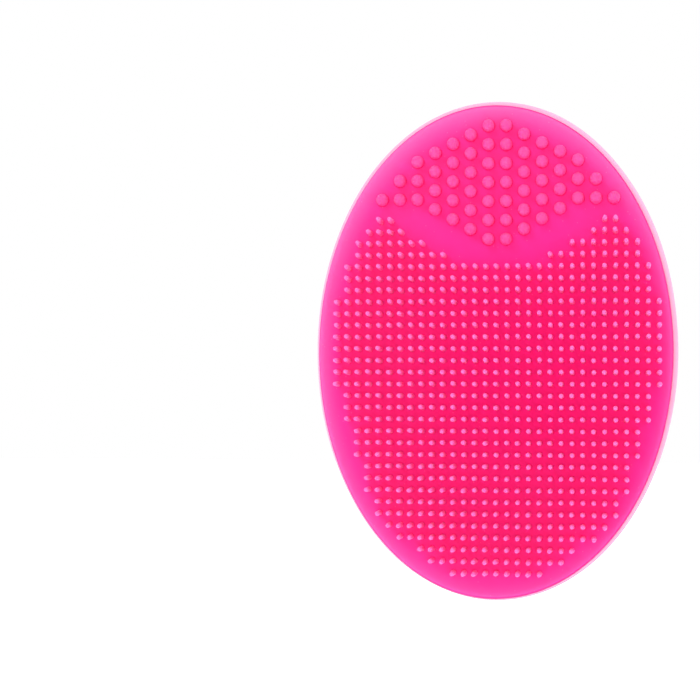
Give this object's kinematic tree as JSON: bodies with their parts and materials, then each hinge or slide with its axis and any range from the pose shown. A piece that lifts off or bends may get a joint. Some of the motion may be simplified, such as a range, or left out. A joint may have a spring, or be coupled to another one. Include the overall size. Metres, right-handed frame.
{
  "type": "facial cleansing brush",
  "caption": "Oval silicone face brush with fine bristles and domed massage nubs, on a short round neck with a suction cup that also serves as the grip.",
  "frame": {"origin": "centre of the suction cup's mouth, in the plane of the wall it sticks to", "axes": "+Y along the neck into the wall, so the brush face looks along -Y; +Z along the oval's length to the end with the nubs; +X to the right as seen from the brush face"},
  "size_m": [0.0562, 0.0254, 0.0782],
  "materials": {
    "handle": "satin silicone, deep pink where it is thick",
    "pad": "satin silicone, hot pink",
    "parting_lip": "thin, see-through silicone flash, pale pink",
    "nubs": "satin silicone",
    "bristles": "satin silicone, lighter towards the tips"
  },
  "bodies": {
    "cup_rim": {"suction_cup_rim": "handle", "suction_cup_wall": "handle"},
    "cup_hub": {"suction_cup_hub": "handle", "neck_lower_flex": "handle"},
    "neck": {"neck_middle": "handle"},
    "pad": {"neck_upper_flex": "handle", "back_boss": "handle", "pad_back": "pad", "parting_lip": "parting_lip", "pad_front": "pad", "nub_column_left_1": "nubs", "nub_column_right_1": "nubs", "nub_column_left_2": "nubs", "nub_column_right_2": "nubs", "nub_column_left_3": "nubs", "nub_column_right_3": "nubs", "nub_column_left_4": "nubs", "nub_column_right_4": "nubs", "nub_column_left_5": "nubs", "nub_column_right_5": "nubs", "nub_column_left_6": "nubs", "nub_column_right_6": "nubs", "nub_column_left_7": "nubs", "nub_column_right_7": "nubs"},
    "row_01": {"bristle_row_01_left": "bristles", "bristle_row_01_right": "bristles"},
    "row_02": {"bristle_row_02_left": "bristles", "bristle_row_02_right": "bristles"},
    "row_03": {"bristle_row_03_left": "bristles", "bristle_row_03_right": "bristles"},
    "row_04": {"bristle_row_04_left": "bristles", "bristle_row_04_right": "bristles"},
    "row_05": {"bristle_row_05": "bristles"},
    "row_06": {"bristle_row_06": "bristles"},
    "row_07": {"bristle_row_07": "bristles"},
    "row_08": {"bristle_row_08": "bristles"},
    "row_09": {"bristle_row_09": "bristles"},
    "row_10": {"bristle_row_10": "bristles"},
    "row_11": {"bristle_row_11": "bristles"},
    "row_12": {"bristle_row_12": "bristles"},
    "row_13": {"bristle_row_13": "bristles"},
    "row_14": {"bristle_row_14": "bristles"},
    "row_15": {"bristle_row_15": "bristles"},
    "row_16": {"bristle_row_16": "bristles"},
    "row_17": {"bristle_row_17": "bristles"},
    "row_18": {"bristle_row_18": "bristles"},
    "row_19": {"bristle_row_19": "bristles"},
    "row_20": {"bristle_row_20": "bristles"},
    "row_21": {"bristle_row_21": "bristles"},
    "row_22": {"bristle_row_22": "bristles"},
    "row_23": {"bristle_row_23": "bristles"},
    "row_24": {"bristle_row_24": "bristles"},
    "row_25": {"bristle_row_25": "bristles"},
    "row_26": {"bristle_row_26": "bristles"},
    "row_27": {"bristle_row_27": "bristles"},
    "row_28": {"bristle_row_28": "bristles"},
    "row_29": {"bristle_row_29": "bristles"},
    "row_30": {"bristle_row_30": "bristles"},
    "row_31": {"bristle_row_31": "bristles"}
  },
  "joints": [
    {"name": "cup_press", "type": "slide", "parent": "cup_rim", "child": "cup_hub", "axis": [0, 1, 0], "range_m": [0, 0.002], "stiffness_N_per_m": 1000, "deforming": ["suction_cup_wall"]},
    {"name": "neck_nod", "type": "hinge", "parent": "cup_hub", "child": "neck", "pos_m": [0, -0.0114, 0], "axis": [1, 0, 0], "range_deg": [-18, 18], "stiffness_Nm_per_rad": 0.05, "deforming": ["neck_lower_flex"]},
    {"name": "neck_sway", "type": "hinge", "parent": "neck", "child": "pad", "pos_m": [0, -0.0149, 0], "axis": [0, 0, 1], "range_deg": [-18, 18], "stiffness_Nm_per_rad": 0.05, "deforming": ["neck_upper_flex"]},
    {"name": "bristle_lean_row_01", "type": "hinge", "parent": "pad", "child": "row_01", "pos_m": [0, -0.02117, 0.02025], "axis": [1, 0, 0], "range_deg": [-20, 20]},
    {"name": "bristle_lean_row_02", "type": "hinge", "parent": "pad", "child": "row_02", "pos_m": [0, -0.02117, 0.01843], "axis": [1, 0, 0], "range_deg": [-20, 20]},
    {"name": "bristle_lean_row_03", "type": "hinge", "parent": "pad", "child": "row_03", "pos_m": [0, -0.02117, 0.0166], "axis": [1, 0, 0], "range_deg": [-20, 20]},
    {"name": "bristle_lean_row_04", "type": "hinge", "parent": "pad", "child": "row_04", "pos_m": [0, -0.02117, 0.01477], "axis": [1, 0, 0], "range_deg": [-20, 20]},
    {"name": "bristle_lean_row_05", "type": "hinge", "parent": "pad", "child": "row_05", "pos_m": [0, -0.02117, 0.01295], "axis": [1, 0, 0], "range_deg": [-20, 20]},
    {"name": "bristle_lean_row_06", "type": "hinge", "parent": "pad", "child": "row_06", "pos_m": [0, -0.02117, 0.01112], "axis": [1, 0, 0], "range_deg": [-20, 20]},
    {"name": "bristle_lean_row_07", "type": "hinge", "parent": "pad", "child": "row_07", "pos_m": [0, -0.02117, 0.0093], "axis": [1, 0, 0], "range_deg": [-20, 20]},
    {"name": "bristle_lean_row_08", "type": "hinge", "parent": "pad", "child": "row_08", "pos_m": [0, -0.02117, 0.00747], "axis": [1, 0, 0], "range_deg": [-20, 20]},
    {"name": "bristle_lean_row_09", "type": "hinge", "parent": "pad", "child": "row_09", "pos_m": [0, -0.02117, 0.00565], "axis": [1, 0, 0], "range_deg": [-20, 20]},
    {"name": "bristle_lean_row_10", "type": "hinge", "parent": "pad", "child": "row_10", "pos_m": [0, -0.02117, 0.00382], "axis": [1, 0, 0], "range_deg": [-20, 20]},
    {"name": "bristle_lean_row_11", "type": "hinge", "parent": "pad", "child": "row_11", "pos_m": [0, -0.02117, 0.002], "axis": [1, 0, 0], "range_deg": [-20, 20]},
    {"name": "bristle_lean", "type": "hinge", "parent": "pad", "child": "row_12", "pos_m": [0, -0.02117, 0.00017], "axis": [1, 0, 0], "range_deg": [-20, 20], "stiffness_Nm_per_rad": 0.0007},
    {"name": "bristle_lean_row_13", "type": "hinge", "parent": "pad", "child": "row_13", "pos_m": [0, -0.02117, -0.00165], "axis": [1, 0, 0], "range_deg": [-20, 20]},
    {"name": "bristle_lean_row_14", "type": "hinge", "parent": "pad", "child": "row_14", "pos_m": [0, -0.02117, -0.00347], "axis": [1, 0, 0], "range_deg": [-20, 20]},
    {"name": "bristle_lean_row_15", "type": "hinge", "parent": "pad", "child": "row_15", "pos_m": [0, -0.02117, -0.0053], "axis": [1, 0, 0], "range_deg": [-20, 20]},
    {"name": "bristle_lean_row_16", "type": "hinge", "parent": "pad", "child": "row_16", "pos_m": [0, -0.02117, -0.00713], "axis": [1, 0, 0], "range_deg": [-20, 20]},
    {"name": "bristle_lean_row_17", "type": "hinge", "parent": "pad", "child": "row_17", "pos_m": [0, -0.02117, -0.00895], "axis": [1, 0, 0], "range_deg": [-20, 20]},
    {"name": "bristle_lean_row_18", "type": "hinge", "parent": "pad", "child": "row_18", "pos_m": [0, -0.02117, -0.01077], "axis": [1, 0, 0], "range_deg": [-20, 20]},
    {"name": "bristle_lean_row_19", "type": "hinge", "parent": "pad", "child": "row_19", "pos_m": [0, -0.02117, -0.0126], "axis": [1, 0, 0], "range_deg": [-20, 20]},
    {"name": "bristle_lean_row_20", "type": "hinge", "parent": "pad", "child": "row_20", "pos_m": [0, -0.02117, -0.01443], "axis": [1, 0, 0], "range_deg": [-20, 20]},
    {"name": "bristle_lean_row_21", "type": "hinge", "parent": "pad", "child": "row_21", "pos_m": [0, -0.02117, -0.01625], "axis": [1, 0, 0], "range_deg": [-20, 20]},
    {"name": "bristle_lean_row_22", "type": "hinge", "parent": "pad", "child": "row_22", "pos_m": [0, -0.02117, -0.01808], "axis": [1, 0, 0], "range_deg": [-20, 20]},
    {"name": "bristle_lean_row_23", "type": "hinge", "parent": "pad", "child": "row_23", "pos_m": [0, -0.02117, -0.0199], "axis": [1, 0, 0], "range_deg": [-20, 20]},
    {"name": "bristle_lean_row_24", "type": "hinge", "parent": "pad", "child": "row_24", "pos_m": [0, -0.02117, -0.02173], "axis": [1, 0, 0], "range_deg": [-20, 20]},
    {"name": "bristle_lean_row_25", "type": "hinge", "parent": "pad", "child": "row_25", "pos_m": [0, -0.02117, -0.02355], "axis": [1, 0, 0], "range_deg": [-20, 20]},
    {"name": "bristle_lean_row_26", "type": "hinge", "parent": "pad", "child": "row_26", "pos_m": [0, -0.02117, -0.02538], "axis": [1, 0, 0], "range_deg": [-20, 20]},
    {"name": "bristle_lean_row_27", "type": "hinge", "parent": "pad", "child": "row_27", "pos_m": [0, -0.02117, -0.0272], "axis": [1, 0, 0], "range_deg": [-20, 20]},
    {"name": "bristle_lean_row_28", "type": "hinge", "parent": "pad", "child": "row_28", "pos_m": [0, -0.02117, -0.02902], "axis": [1, 0, 0], "range_deg": [-20, 20]},
    {"name": "bristle_lean_row_29", "type": "hinge", "parent": "pad", "child": "row_29", "pos_m": [0, -0.02117, -0.03085], "axis": [1, 0, 0], "range_deg": [-20, 20]},
    {"name": "bristle_lean_row_30", "type": "hinge", "parent": "pad", "child": "row_30", "pos_m": [0, -0.02117, -0.03268], "axis": [1, 0, 0], "range_deg": [-20, 20]},
    {"name": "bristle_lean_row_31", "type": "hinge", "parent": "pad", "child": "row_31", "pos_m": [0, -0.02117, -0.0345], "axis": [1, 0, 0], "range_deg": [-20, 20]}
  ],
  "couplings": [
    {"joint": "bristle_lean_row_01", "follows": "bristle_lean", "ratio": 1},
    {"joint": "bristle_lean_row_02", "follows": "bristle_lean", "ratio": 1},
    {"joint": "bristle_lean_row_03", "follows": "bristle_lean", "ratio": 1},
    {"joint": "bristle_lean_row_04", "follows": "bristle_lean", "ratio": 1},
    {"joint": "bristle_lean_row_05", "follows": "bristle_lean", "ratio": 1},
    {"joint": "bristle_lean_row_06", "follows": "bristle_lean", "ratio": 1},
    {"joint": "bristle_lean_row_07", "follows": "bristle_lean", "ratio": 1},
    {"joint": "bristle_lean_row_08", "follows": "bristle_lean", "ratio": 1},
    {"joint": "bristle_lean_row_09", "follows": "bristle_lean", "ratio": 1},
    {"joint": "bristle_lean_row_10", "follows": "bristle_lean", "ratio": 1},
    {"joint": "bristle_lean_row_11", "follows": "bristle_lean", "ratio": 1},
    {"joint": "bristle_lean_row_13", "follows": "bristle_lean", "ratio": 1},
    {"joint": "bristle_lean_row_14", "follows": "bristle_lean", "ratio": 1},
    {"joint": "bristle_lean_row_15", "follows": "bristle_lean", "ratio": 1},
    {"joint": "bristle_lean_row_16", "follows": "bristle_lean", "ratio": 1},
    {"joint": "bristle_lean_row_17", "follows": "bristle_lean", "ratio": 1},
    {"joint": "bristle_lean_row_18", "follows": "bristle_lean", "ratio": 1},
    {"joint": "bristle_lean_row_19", "follows": "bristle_lean", "ratio": 1},
    {"joint": "bristle_lean_row_20", "follows": "bristle_lean", "ratio": 1},
    {"joint": "bristle_lean_row_21", "follows": "bristle_lean", "ratio": 1},
    {"joint": "bristle_lean_row_22", "follows": "bristle_lean", "ratio": 1},
    {"joint": "bristle_lean_row_23", "follows": "bristle_lean", "ratio": 1},
    {"joint": "bristle_lean_row_24", "follows": "bristle_lean", "ratio": 1},
    {"joint": "bristle_lean_row_25", "follows": "bristle_lean", "ratio": 1},
    {"joint": "bristle_lean_row_26", "follows": "bristle_lean", "ratio": 1},
    {"joint": "bristle_lean_row_27", "follows": "bristle_lean", "ratio": 1},
    {"joint": "bristle_lean_row_28", "follows": "bristle_lean", "ratio": 1},
    {"joint": "bristle_lean_row_29", "follows": "bristle_lean", "ratio": 1},
    {"joint": "bristle_lean_row_30", "follows": "bristle_lean", "ratio": 1},
    {"joint": "bristle_lean_row_31", "follows": "bristle_lean", "ratio": 1}
  ]
}
